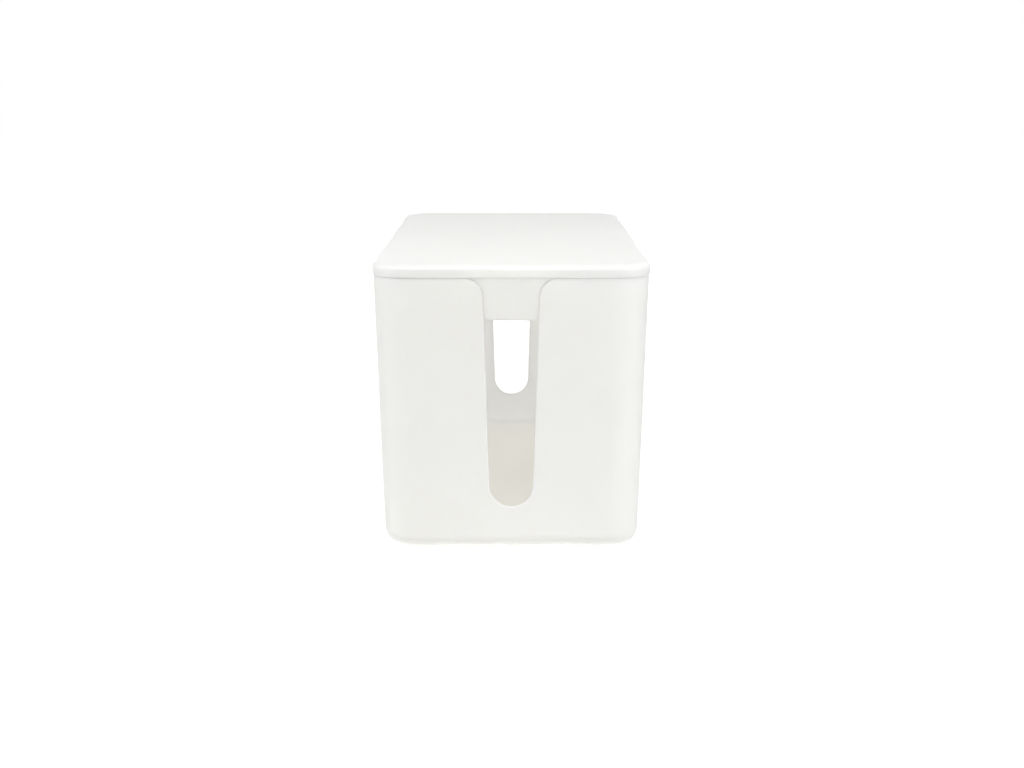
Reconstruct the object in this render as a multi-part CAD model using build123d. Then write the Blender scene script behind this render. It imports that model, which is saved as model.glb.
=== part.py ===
from build123d import *
import os
from math import cos, radians, sin, tan

# Cable management box: a tub with a tapered cable slot in each end, a lift-off lid whose two
# tongues close the mouths of the slots, and four rubber feet under the floor.
#
# Millimetres, +Z up. The origin is on the ground under the middle of the box. X runs across the
# box and Y along it, so the cable slots face -Y (the front) and +Y (the rear).

# --- Tub: an open box whose walls lean in towards the floor ---------------------------------
TUB_LENGTH = 234.0        # outside, at the rim
TUB_WIDTH = 114.0         # outside, at the rim
TUB_HEIGHT = 115.0        # underside to rim
TUB_CORNER_R = 16.0       # outside vertical corners, at the rim
TUB_DRAFT = 1.75          # degrees that each wall leans
WALL = 2.0                # measured level, the same from rim to floor
FLOOR = 2.2
UNDERSIDE_EDGE_R = 7.0    # outside, where the walls meet the underside
FLOOR_EDGE_R = UNDERSIDE_EDGE_R - WALL    # inside, where the walls meet the floor
LIP_R = 0.5               # outer edge of the rim and of the slots
LIP_BEVEL = 0.5           # inner edge of the same, which leads in the lid's rib

# --- Cable slots, the same in both ends -----------------------------------------------------
SLOT_MOUTH_WIDTH = 23.5   # where the straight sides would meet the rim
SLOT_TAPER = 1.75         # degrees that each side leans in towards the bottom
SLOT_BOTTOM = 18.8        # lowest point of the slot above the underside
SLOT_FLARE_R = 7.8        # the mouth opens into the rim with this radius

# --- Lid: a shallow cap that stands proud of the tub all round ------------------------------
LID_OVERHANG = 0.5        # past the rim of the tub, all round
LID_HEIGHT = 5.1          # rim of the tub to the top of the lid
LID_PLATE = 2.2           # thickness of the flat top
LID_BAND = 1.9            # thickness of the band round the edge, which rests on the rim
LID_TOP_EDGE_R = 2.1
LID_BAND_BEVEL = 0.3      # lower outer edge of the band

# --- Tongues: they hang from the lid's ends, flush with the tub, in the mouths of the slots --
TONGUE_DROP = 17.4        # below the rim
TONGUE_THICKNESS = 2.0
TONGUE_GAP = 0.4          # to each side of the slot
TONGUE_CORNER_R = 2.0
TONGUE_EDGE_R = 0.35      # round the outer face
GUSSET_SPACING = 11.0     # between the two ribs that stiffen a tongue, centre to centre
GUSSET_THICKNESS = 1.4
GUSSET_DEPTH = 5.0        # from the tongue's inner face, under the plate
GUSSET_TOE = 0.8          # the same, at the gusset's lower end
GUSSET_STOP = 4.0         # the gusset ends this far above the tongue's lower edge

# --- Locating rib: it hangs inside the tub's walls and centres the lid ----------------------
RIB_CLEARANCE = 0.4       # to the inner face of the tub's walls
RIB_THICKNESS = 1.4       # at the level of the rim
RIB_DROP = 5.0            # below the rim
RIB_TO_FLARE = 3.0        # the rib stops this far short of each slot's flare

# --- Moulding marks -------------------------------------------------------------------------
LID_GATE_R = 1.5          # witness of the injection point, mid-lid
LID_GATE_DEPTH = 0.15
TUB_GATE_R = 4.0          # dish round the injection point, mid-underside
TUB_GATE_DEPTH = 0.5
TUB_GATE_STUB_R = 1.1
TUB_GATE_STUB = 0.3       # height of the stub that stands in the dish

# --- Feet: rubber discs set into the underside ----------------------------------------------
FOOT_R = 6.0
FOOT_STANDOFF = 1.2       # ground to underside
FOOT_RECESS = 1.0         # depth of the pocket in the floor
FOOT_FIT = 0.15           # radial gap between a foot and its pocket
FOOT_INSET = 16.0         # sides of the underside to the middle of a foot

# --- Heights above the ground ---------------------------------------------------------------
UNDERSIDE_Z = FOOT_STANDOFF
FLOOR_Z = UNDERSIDE_Z + FLOOR
SLOT_Z = UNDERSIDE_Z + SLOT_BOTTOM
RIM_Z = UNDERSIDE_Z + TUB_HEIGHT
TONGUE_Z = RIM_Z - TONGUE_DROP
RIB_Z = RIM_Z - RIB_DROP
LID_TOP_Z = RIM_Z + LID_HEIGHT
CEILING_Z = LID_TOP_Z - LID_PLATE
INTO_PLATE_Z = LID_TOP_Z - LID_PLATE / 2    # what hangs from the plate is rooted this high
CLEAR_Z = LID_TOP_Z + LID_HEIGHT            # above everything, for cuts that open upwards

STANDING = (Align.CENTER, Align.CENTER, Align.MIN)
SNAP = 0.001                                # nearness at which two positions are the same


def lean(z):
    """How far the walls have moved in at height z, from where they are at the rim."""
    return (RIM_Z - z) * tan(radians(TUB_DRAFT))


def tub_outline(inset, z):
    """The tub's level outline at height z, taken in by inset."""
    step = inset + lean(z)
    outline = RectangleRounded(TUB_WIDTH - 2 * step, TUB_LENGTH - 2 * step, TUB_CORNER_R - step)
    return Plane.XY.offset(z) * outline


def drafted_block(inset, top_z, bottom_z):
    """What the tub's walls enclose between two heights, taken in by inset."""
    return extrude(
        tub_outline(inset, top_z), amount=top_z - bottom_z, dir=(0, 0, -1), taper=TUB_DRAFT
    )


def slot_half_width(z, gap=0.0):
    """From the middle of a slot to its straight side at height z, less a level gap."""
    return SLOT_MOUTH_WIDTH / 2 - (RIM_Z - z) * tan(radians(SLOT_TAPER)) - gap


def flare_reach(gap=0.0):
    """From the middle of a slot to where its flare has turned level with the rim."""
    tangent_length = SLOT_FLARE_R * tan(radians(90 - SLOT_TAPER) / 2)
    return slot_half_width(RIM_Z, gap) + tangent_length


def mouth_side(low, top_z, gap=0.0):
    """The right-hand side of a slot: straight up from low, round the flare and on to top_z."""
    tangent_length = flare_reach(gap) - slot_half_width(RIM_Z, gap)
    flare_z = RIM_Z - tangent_length * cos(radians(SLOT_TAPER))
    flare_start = (slot_half_width(flare_z, gap), flare_z)
    flare_end = (flare_reach(gap), RIM_Z)
    return [
        Line(low, flare_start),
        TangentArc(flare_end, flare_start, tangent=(-1, 0)),
        Line(flare_end, (flare_reach(gap), top_z)),
    ]


def end_to_end(side, bottom, top_z, gap=0.0):
    """The solid along Y whose section has this side, its mirror image, a bottom and a top."""
    top = Line((-flare_reach(gap), top_z), (flare_reach(gap), top_z))
    other_side = [mirror(edge, Plane.YZ) for edge in side]
    section = make_face([*side, *other_side, bottom, top])
    return extrude(Plane.XZ * section, amount=TUB_LENGTH, both=True)


def slot_cut():
    """What is taken out of both end walls for the cable slots: their bottoms are half round."""
    taper = radians(SLOT_TAPER)
    radius = slot_half_width(SLOT_Z) * cos(taper) / (1 - sin(taper))
    touch = (radius * cos(taper), SLOT_Z + radius * (1 - sin(taper)))
    bottom = ThreePointArc((-touch[0], touch[1]), (0, SLOT_Z), touch)
    return end_to_end(mouth_side(touch, CLEAR_Z), bottom, CLEAR_Z)


def foot_places():
    """The name and the centre of each foot. Front is -Y, left is -X."""
    x = TUB_WIDTH / 2 - lean(UNDERSIDE_Z) - FOOT_INSET
    y = TUB_LENGTH / 2 - lean(UNDERSIDE_Z) - FOOT_INSET
    return {
        "foot_front_left": (-x, -y),
        "foot_front_right": (x, -y),
        "foot_rear_left": (-x, y),
        "foot_rear_right": (x, y),
    }


def slot_bottom_edges(body):
    """The lowest edges of the slots: the two inner ones, then the two outer ones."""
    level = body.edges().filter_by(lambda edge: abs((edge @ 0.5).Z - SLOT_Z) < SNAP)
    round_edges = level.filter_by(Axis.Y, reverse=True)
    return round_edges.sort_by(lambda edge: abs(edge.center().Y))


def make_box_body():
    outside = drafted_block(0, RIM_Z, UNDERSIDE_Z)
    outside = fillet(outside.faces().sort_by(Axis.Z)[0].edges(), UNDERSIDE_EDGE_R)
    inside = drafted_block(WALL, RIM_Z, FLOOR_Z)
    inside = fillet(inside.faces().sort_by(Axis.Z)[0].edges(), FLOOR_EDGE_R)
    body = outside - inside - slot_cut()

    # Both run on from the bottom of each slot, up its sides and all along the rim.
    body = fillet(slot_bottom_edges(body)[2:], LIP_R)
    body = chamfer(slot_bottom_edges(body)[:2], LIP_BEVEL)

    pocket = Cylinder(FOOT_R + FOOT_FIT, FOOT_RECESS, align=STANDING)
    for x, y in foot_places().values():
        body -= Pos(x, y, UNDERSIDE_Z) * pocket

    dish = Cylinder(TUB_GATE_R, TUB_GATE_DEPTH, align=STANDING)
    stub = Cylinder(TUB_GATE_STUB_R, TUB_GATE_STUB, align=STANDING)
    body -= Pos(0, 0, UNDERSIDE_Z) * dish
    body += Pos(0, 0, UNDERSIDE_Z + TUB_GATE_DEPTH - TUB_GATE_STUB) * stub
    return body


def make_tongues():
    """Both tongues: what fills the mouths of the slots, within the thickness of the end walls."""
    low = (slot_half_width(TONGUE_Z, TONGUE_GAP), TONGUE_Z)
    side = mouth_side(low, INTO_PLATE_Z, TONGUE_GAP)
    bar = end_to_end(side, Line((-low[0], low[1]), low), INTO_PLATE_Z, TONGUE_GAP)
    bar = fillet(bar.edges().filter_by(Axis.Y).group_by(Axis.Z)[0], TONGUE_CORNER_R)
    skin = drafted_block(0, INTO_PLATE_Z, TONGUE_Z)
    skin -= drafted_block(TONGUE_THICKNESS, INTO_PLATE_Z, TONGUE_Z)
    tongues = []
    for tongue in (bar & skin).solids():
        lower_edge = tongue.edges().filter_by(Axis.X).group_by(Axis.Z)[0]
        outer_edge = lower_edge.sort_by(lambda edge: abs(edge.center().Y))[-1]
        tongues.append(fillet(outer_edge, TONGUE_EDGE_R))
    return tongues


def make_gussets():
    """The ribs behind the tongues: deep under the plate, shallow at their lower ends."""
    toe_z = TONGUE_Z + GUSSET_STOP
    toe_y = TUB_LENGTH / 2 - lean(toe_z) - TONGUE_THICKNESS
    head_y = TUB_LENGTH / 2 - TONGUE_THICKNESS
    root = TONGUE_THICKNESS / 2
    profile = Polygon(
        (toe_y + root, toe_z),
        (toe_y - GUSSET_TOE, toe_z),
        (head_y - GUSSET_DEPTH, CEILING_Z),
        (head_y - GUSSET_DEPTH, INTO_PLATE_Z),
        (head_y + root, INTO_PLATE_Z),
        align=None,
    )
    gusset = extrude(Plane.YZ * profile, amount=GUSSET_THICKNESS / 2, both=True)
    pair = [Pos(x, 0, 0) * gusset for x in (-GUSSET_SPACING / 2, GUSSET_SPACING / 2)]
    return pair + [mirror(rib, Plane.XZ) for rib in pair]


def make_rib():
    """The locating rib: its outer face leans as the tub's wall does, its inner face is upright."""
    outer = WALL + RIB_CLEARANCE
    rib = drafted_block(outer, INTO_PLATE_Z, RIB_Z)
    rib -= extrude(tub_outline(outer + RIB_THICKNESS, RIM_Z), amount=TUB_HEIGHT, both=True)
    gap_width = 2 * (flare_reach() + RIB_TO_FLARE)
    return rib - Pos(0, 0, RIM_Z) * Box(gap_width, 2 * TUB_LENGTH, TUB_HEIGHT)


def make_lid():
    length = TUB_LENGTH + 2 * LID_OVERHANG
    width = TUB_WIDTH + 2 * LID_OVERHANG
    corner_r = TUB_CORNER_R + LID_OVERHANG
    lid = extrude(Plane.XY.offset(RIM_Z) * RectangleRounded(width, length, corner_r), LID_HEIGHT)
    lid = fillet(lid.faces().sort_by(Axis.Z)[-1].edges(), LID_TOP_EDGE_R)
    lid = chamfer(lid.faces().sort_by(Axis.Z)[0].edges(), LID_BAND_BEVEL)
    hollow = RectangleRounded(width - 2 * LID_BAND, length - 2 * LID_BAND, corner_r - LID_BAND)
    lid -= extrude(Plane.XY.offset(RIM_Z) * hollow, LID_HEIGHT - LID_PLATE)
    for piece in [*make_tongues(), *make_gussets(), make_rib()]:
        lid += piece
    gate = Cylinder(LID_GATE_R, LID_GATE_DEPTH, align=STANDING)
    return lid - Pos(0, 0, LID_TOP_Z - LID_GATE_DEPTH) * gate


def make_foot():
    """A disc that stands on the ground and reaches to the top of its pocket."""
    return Cylinder(FOOT_R, FOOT_STANDOFF + FOOT_RECESS, align=STANDING)


pieces = {"box_body": make_box_body(), "lid": make_lid()}
foot = make_foot()
for name, (x, y) in foot_places().items():
    pieces[name] = Pos(x, y, 0) * foot

os.makedirs("parts", exist_ok=True)
for name, piece in pieces.items():
    export_step(piece, f"parts/{name}.step")
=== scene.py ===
from math import radians, tan

import bmesh
import bpy
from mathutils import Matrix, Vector


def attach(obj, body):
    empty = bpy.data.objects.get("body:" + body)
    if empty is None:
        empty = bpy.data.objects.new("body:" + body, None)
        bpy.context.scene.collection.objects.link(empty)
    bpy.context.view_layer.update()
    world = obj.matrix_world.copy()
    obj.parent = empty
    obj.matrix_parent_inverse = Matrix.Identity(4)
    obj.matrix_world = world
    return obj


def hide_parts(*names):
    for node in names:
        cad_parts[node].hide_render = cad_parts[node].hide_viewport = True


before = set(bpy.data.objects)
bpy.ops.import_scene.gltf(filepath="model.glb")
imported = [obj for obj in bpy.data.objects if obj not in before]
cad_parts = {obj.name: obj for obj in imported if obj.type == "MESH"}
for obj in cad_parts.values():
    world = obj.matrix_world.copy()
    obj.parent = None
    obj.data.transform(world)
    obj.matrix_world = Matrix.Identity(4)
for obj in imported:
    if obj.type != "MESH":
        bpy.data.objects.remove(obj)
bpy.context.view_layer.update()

scene = bpy.context.scene
scene.view_settings.view_transform = "Standard"

# --- Measures that the marks and the shading follow, in metres ------------------------------
RIM = 0.1162                # height of the joint between tub and lid
TUB_END = 0.117             # outer face of the end walls, at the rim
DRAFT = radians(1.75)       # by which they lean
WALL = 0.002
SLOT_FOOT = 0.0185          # just below the bottoms of the slots
SLOT_REACH = 0.021          # middle of a slot to the end of its flare
TONGUE_FOOT = 0.0985        # just below the tongues
LIP = 0.0006                # depth of the rounded edges of slots, tongues and rim
FOOT = (0.0375, 0.0975, 0.0034)    # on the floor, above the middle of a foot
FOOT_RADIUS = 0.006

# How far light goes inside the white plastic
OUTER_REACH = 0.004
JOINT_REACH = 0.0024        # beside the joint of tub and lid
LIP_REACH = 0.0008          # in the thin edges and gaps
INNER_REACH = 0.03          # on inner faces, which gather what comes through the walls

# --- Colours --------------------------------------------------------------------------------
CLOUD_DARK = (0.922, 0.914, 0.866, 1.0)
CLOUD_LIGHT = (0.938, 0.930, 0.884, 1.0)
# Painted tint of light bounced inside the tub: paler low down, warmer up the inner walls.
BOTTOM_BOUNCE_TINT = (0.946, 0.940, 0.910, 1.0)
INNER_BOUNCE_TINT = (0.950, 0.920, 0.800, 1.0)
# Painted highlight on the rounded edges, which also lightens the shade in the thin gaps.
LIP_HIGHLIGHT_WHITE = (0.970, 0.964, 0.935, 1.0)
RUBBER_DARK = (0.47, 0.48, 0.48, 1.0)
RUBBER_LIGHT = (0.56, 0.57, 0.57, 1.0)
FLOOR_GREY = (0.8, 0.8, 0.8, 1.0)
PURE_WHITE = (1.0, 1.0, 1.0, 1.0)


# --- Node helpers ---------------------------------------------------------------------------
class Nodes:
    """Builds one node tree: add() makes a node with its settings, inputs and links."""

    def __init__(self, tree):
        self.tree = tree
        tree.nodes.clear()

    def add(self, kind, settings=None, **inputs):
        node = self.tree.nodes.new(kind)
        for name, value in (settings or {}).items():
            setattr(node, name, value)
        for name, value in inputs.items():
            self.put(node.inputs[name.replace("_", " ")], value)
        return node

    def put(self, socket, value):
        """Links a socket to another one's output, or sets it to a constant."""
        if isinstance(value, bpy.types.NodeSocket):
            self.tree.links.new(value, socket)
        else:
            socket.default_value = value

    def fill(self, node, *values):
        """Puts the values into the node's first inputs, in their order."""
        for socket, value in zip(node.inputs, values):
            self.put(socket, value)
        return node

    def noise(self, where, scale, detail, roughness=0.5):
        made = self.add(
            "ShaderNodeTexNoise", Vector=where, Scale=scale, Detail=detail, Roughness=roughness
        )
        return made.outputs["Fac"]

    def span(self, value, low, high, at_low=0.0, at_high=1.0):
        """Goes from at_low to at_high while the value goes from low to high."""
        made = self.add(
            "ShaderNodeMapRange", {"clamp": True},
            Value=value, From_Min=low, From_Max=high, To_Min=at_low, To_Max=at_high,
        )
        return made.outputs["Result"]

    def blend(self, share, at_none, at_full):
        return self.span(share, 0.0, 1.0, at_none, at_full)

    def mix(self, share, first, second):
        """Mixes two colours."""
        made = self.add("ShaderNodeMix", {"data_type": "RGBA"})
        self.put(made.inputs[0], share)
        self.put(made.inputs[6], first)
        self.put(made.inputs[7], second)
        return made.outputs[2]

    def either(self, share, first, second):
        """Mixes two shaders."""
        return self.fill(self.add("ShaderNodeMixShader"), share, first, second).outputs[0]

    def math(self, operation, *values):
        made = self.add("ShaderNodeMath", {"operation": operation})
        return self.fill(made, *values).outputs[0]

    def vector_math(self, operation, output, *values):
        made = self.add("ShaderNodeVectorMath", {"operation": operation})
        return self.fill(made, *values).outputs[output]

    def bump(self, height, strength, distance, **under):
        made = self.add(
            "ShaderNodeBump", Height=height, Strength=strength, Distance=distance, **under
        )
        return made.outputs["Normal"]

    def mark(self, name):
        """The share, from 0 to 1, that mark_faces() gave to a face."""
        return self.add("ShaderNodeAttribute", {"attribute_name": name}).outputs["Fac"]

    def seen_ray(self):
        """1 where a ray from the camera, a reflection or a clear surface arrives, else 0."""
        path = self.add("ShaderNodeLightPath").outputs
        found = self.math("MAXIMUM", path["Is Camera Ray"], path["Is Glossy Ray"])
        return self.math("MAXIMUM", found, path["Is Transmission Ray"])


def new_material(name):
    material = bpy.data.materials.new(name)
    material.use_nodes = True
    return material, Nodes(material.node_tree)


# --- White plastic --------------------------------------------------------------------------
def plastic_colour(nodes, where, height, lip, inside):
    """Soft clouds outside, a painted warm tint of light bounced inside the tub on the inner
    faces, and a painted highlight on the lips.
    """
    clouds = nodes.noise(where, 22.0, 4.0)
    outer = nodes.mix(nodes.span(clouds, 0.35, 0.65), CLOUD_DARK, CLOUD_LIGHT)
    # The inner faces get a painted tint of the light bounced inside the tub, paler on the floor
    # and warmer up the walls.
    floor_top, wall_foot = 0.003, 0.012
    above_floor = nodes.span(height, floor_top, wall_foot)
    inner = nodes.mix(above_floor, BOTTOM_BOUNCE_TINT, INNER_BOUNCE_TINT)
    colour = nodes.mix(nodes.blend(inside, 0.0, 0.85), outer, inner)
    # Painted highlight: the lips and gap walls are lighter than the rest of the plastic.
    return nodes.mix(lip, colour, LIP_HIGHLIGHT_WHITE)


def plastic_reach(nodes, where, place, lip, inside):
    """How far light goes inside the plastic: less at the joint and in the lips, more inside."""
    # The joint's own reach comes in up the tub, is full at the rim and ends on the lid's band.
    on_tub, full_from = RIM - 0.0122, RIM - 0.0007
    full_to, on_band = RIM + 0.0006, RIM + 0.0033
    below_joint = nodes.span(place["Z"], on_tub, full_from)
    above_joint = nodes.span(place["Z"], full_to, on_band, 1.0, 0.0)
    # It is weaker across the tongue, which closes the slot.
    across = nodes.math("ABSOLUTE", place["X"])
    tongue_side = 0.009
    beside_tongue = nodes.span(across, tongue_side, SLOT_REACH - 0.001, 0.35, 1.0)
    joint = nodes.math("MULTIPLY", below_joint, above_joint)
    joint = nodes.math("MULTIPLY", joint, beside_tongue)
    outer = nodes.math(
        "MINIMUM",
        nodes.blend(joint, OUTER_REACH, JOINT_REACH),
        nodes.blend(lip, OUTER_REACH, LIP_REACH),
    )
    # Over a foot the floor has no light behind it.
    quarter = nodes.vector_math("ABSOLUTE", "Vector", where)
    from_foot = nodes.vector_math("DISTANCE", "Value", quarter, FOOT)
    foot_edge = FOOT_RADIUS - 0.0005
    inner = nodes.span(from_foot, foot_edge, foot_edge + 0.003, OUTER_REACH, INNER_REACH)
    return nodes.math("MAXIMUM", outer, nodes.math("MULTIPLY", inside, inner))


def plastic_roughness(nodes, where, lip):
    """Wear: the lips are polished by cables and hands, and fine scuffs run along the box."""
    patches = nodes.noise(where, 140.0, 3.0)
    along = nodes.add("ShaderNodeMapping", Vector=where, Scale=(420.0, 36.0, 420.0))
    scuffs = nodes.noise(along.outputs["Vector"], 1.0, 2.0)
    roughness = nodes.span(patches, 0.3, 0.7, 0.47, 0.57)
    roughness = nodes.math("ADD", roughness, nodes.span(scuffs, 0.6, 0.74, 0.0, 0.1))
    return nodes.math("ADD", roughness, nodes.blend(lip, 0.0, -0.06))


def make_white_plastic():
    material, nodes = new_material("white_plastic")
    where = nodes.add("ShaderNodeTexCoord").outputs["Object"]
    place = nodes.add("ShaderNodeSeparateXYZ", Vector=where).outputs
    lip = nodes.mark("lip")
    inside = nodes.mark("inside")
    grain = nodes.noise(where, 2600.0, 2.0, 0.6)
    waves = nodes.bump(nodes.noise(where, 26.0, 1.0), 0.35, 0.00006)
    shader = nodes.add(
        "ShaderNodeBsdfPrincipled",
        {"subsurface_method": "RANDOM_WALK"},
        Base_Color=plastic_colour(nodes, where, place["Z"], lip, inside),
        Roughness=plastic_roughness(nodes, where, lip),
        Normal=nodes.bump(grain, 0.25, 0.00002, Normal=waves),
        IOR=1.49,
        Subsurface_Weight=1.0,
        Subsurface_Radius=(1.0, 0.985, 0.95),
        Subsurface_Scale=plastic_reach(nodes, where, place, lip, inside),
    )
    nodes.add("ShaderNodeOutputMaterial", Surface=shader.outputs["BSDF"])
    return material


# --- Rubber ---------------------------------------------------------------------------------
def make_foot_rubber():
    material, nodes = new_material("foot_rubber")
    where = nodes.add("ShaderNodeTexCoord").outputs["Object"]
    mottle = nodes.noise(where, 420.0, 4.0)
    grain = nodes.noise(where, 5200.0, 2.0)
    shader = nodes.add(
        "ShaderNodeBsdfPrincipled",
        Base_Color=nodes.mix(mottle, RUBBER_DARK, RUBBER_LIGHT),
        Roughness=nodes.span(mottle, 0.3, 0.7, 0.7, 0.85),
        Normal=nodes.bump(grain, 0.5, 0.00003),
        IOR=1.5,
    )
    nodes.add("ShaderNodeOutputMaterial", Surface=shader.outputs["BSDF"])
    return material


# --- Pieces ---------------------------------------------------------------------------------
def mark_faces(form, node):
    """Marks the lips (rounded edges and walls of the thin gaps) and the faces lit from behind."""
    lip = form.faces.layers.float.new("lip")
    inside = form.faces.layers.float.new("inside")
    for face in form.faces:
        middle, normal = face.calc_center_median(), face.normal
        depth = TUB_END - (RIM - middle.z) * tan(DRAFT) - abs(middle.y)
        by_slot = abs(middle.x) < SLOT_REACH and SLOT_FOOT < middle.z < RIM
        rounded = depth < LIP and 0.1 < abs(normal.y) < 0.98
        gap_wall = depth < WALL and abs(normal.y) <= 0.1 and middle.z > TONGUE_FOOT
        rim_edge = abs(middle.z - RIM) < LIP and abs(normal.z) > 0.1
        is_lip = rim_edge or (by_slot and (rounded or gap_wall))
        inward = middle.x * normal.x + middle.y * normal.y < -1e-5
        inner_wall = node == "box_body" and inward
        on_floor = normal.z > 0.5 and middle.z < SLOT_FOOT
        under_plate = normal.z < -0.5 and middle.z > RIM + LIP
        under_tub = normal.z < -0.9 and middle.z < SLOT_FOOT
        is_inside = inner_wall or on_floor or under_plate or under_tub
        face[lip] = float(is_lip)
        face[inside] = float(is_inside and not is_lip)


def dress(node, name, body, material):
    """A piece with the node's form, welded along its faces and shaded smoothly."""
    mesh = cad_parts[node].data.copy()
    form = bmesh.new()
    form.from_mesh(mesh)
    bmesh.ops.remove_doubles(form, verts=form.verts, dist=2e-6)
    mark_faces(form, node)
    form.to_mesh(mesh)
    form.free()
    mesh.materials.clear()
    mesh.materials.append(material)
    mesh.shade_smooth()
    mesh.set_sharp_from_angle(angle=radians(28))
    piece = bpy.data.objects.new(name, mesh)
    scene.collection.objects.link(piece)
    normals = piece.modifiers.new("normals", "WEIGHTED_NORMAL")
    normals.keep_sharp = True
    normals.weight = 50
    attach(piece, body)
    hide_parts(node)


white_plastic = make_white_plastic()
foot_rubber = make_foot_rubber()
dress("box_body", "tub", "box", white_plastic)
dress("lid", "cap", "lid", white_plastic)
for corner in ("front_left", "front_right", "rear_left", "rear_right"):
    dress("foot_" + corner, "pad_" + corner, "box", foot_rubber)


# --- Floor and backdrop ---------------------------------------------------------------------
def make_floor():
    """A floor that is white to the eye away from the box, and clear when seen from below."""
    half = 6.0
    height = -0.0001    # just under the feet
    corners = [(-half, -half), (half, -half), (half, half), (-half, half)]
    mesh = bpy.data.meshes.new("floor")
    mesh.from_pydata([(x, y, height) for x, y in corners], [], [(0, 1, 2, 3)])
    floor = bpy.data.objects.new("floor", mesh)
    scene.collection.objects.link(floor)
    material, nodes = new_material("floor")
    matt = nodes.add("ShaderNodeBsdfDiffuse", Color=FLOOR_GREY).outputs[0]
    here = nodes.add("ShaderNodeNewGeometry").outputs
    from_box = nodes.vector_math("LENGTH", "Value", here["Position"])
    near, far = 0.12, 0.3
    strength = nodes.span(from_box, near, far, 0.46, 0.82)
    glow = nodes.add("ShaderNodeEmission", Strength=strength).outputs[0]
    seen = nodes.fill(nodes.add("ShaderNodeAddShader"), matt, glow).outputs[0]
    top = nodes.either(nodes.seen_ray(), matt, seen)
    clear = nodes.add("ShaderNodeBsdfTransparent").outputs[0]
    surface = nodes.either(here["Backfacing"], top, clear)
    nodes.add("ShaderNodeOutputMaterial", Surface=surface)
    mesh.materials.append(material)


def make_world():
    """Pure white to the eye, and a weak white light on the box."""
    world = bpy.data.worlds.new("studio")
    world.use_nodes = True
    scene.world = world
    nodes = Nodes(world.node_tree)
    light = nodes.add("ShaderNodeBackground", Color=PURE_WHITE, Strength=0.22).outputs[0]
    backdrop = nodes.add("ShaderNodeBackground", Color=PURE_WHITE, Strength=1.0).outputs[0]
    surface = nodes.either(nodes.seen_ray(), light, backdrop)
    nodes.add("ShaderNodeOutputWorld", Surface=surface)


# --- Lamps and camera -----------------------------------------------------------------------
def make_softbox(name, place, aim, size, watts, spread=180):
    lamp = bpy.data.lights.new(name, "AREA")
    lamp.shape = "RECTANGLE"
    lamp.size, lamp.size_y = size
    lamp.energy = watts
    lamp.spread = radians(spread)
    holder = bpy.data.objects.new(name, lamp)
    holder.location = place
    holder.rotation_euler = (Vector(aim) - Vector(place)).to_track_quat("-Z", "Y").to_euler()
    holder.visible_camera = False
    scene.collection.objects.link(holder)


def make_lamps():
    """The low lamp behind and the one below stand for light from a white backdrop and table."""
    middle = (0.0, 0.0, 0.06)
    above_front = (0.0, -0.25, 0.1)
    make_softbox("softbox_top", (0.0, -0.9, 1.2), above_front, (1.0, 0.6), 2.06, spread=60)
    make_softbox("softbox_left", (-1.3, -0.15, 0.45), middle, (0.9, 0.8), 6.2)
    make_softbox("softbox_right", (1.3, -0.27, 0.52), middle, (0.9, 0.9), 5.9)
    make_softbox("softbox_back", (0.0, 1.2, 0.9), middle, (1.4, 0.8), 3.2)
    make_softbox("softbox_low_back", (0.0, 0.9, 0.052), (0.0, 0.0, 0.052), (0.8, 0.1), 3.1)
    make_softbox("softbox_near_right", (0.2, -0.55, 0.09), middle, (0.5, 0.16), 0.24)
    make_softbox("light_table", (0.0, 0.0, 0.0004), (0.0, 0.0, 1.0), (0.1, 0.222), 0.022)


def make_camera():
    camera = bpy.data.cameras.new("camera")
    camera.sensor_width = 36.0
    camera.lens = 53.4
    holder = bpy.data.objects.new("camera", camera)
    holder.location = (0.0003, -0.724, 0.1974)
    looks_down = 11.61
    holder.rotation_euler = (radians(90 - looks_down), 0.0, 0.0)
    scene.collection.objects.link(holder)
    scene.camera = holder


make_floor()
make_world()
make_lamps()
make_camera()

# Light that enters the tub bounces many times between its white walls.
scene.cycles.diffuse_bounces = 12
scene.cycles.max_bounces = 20
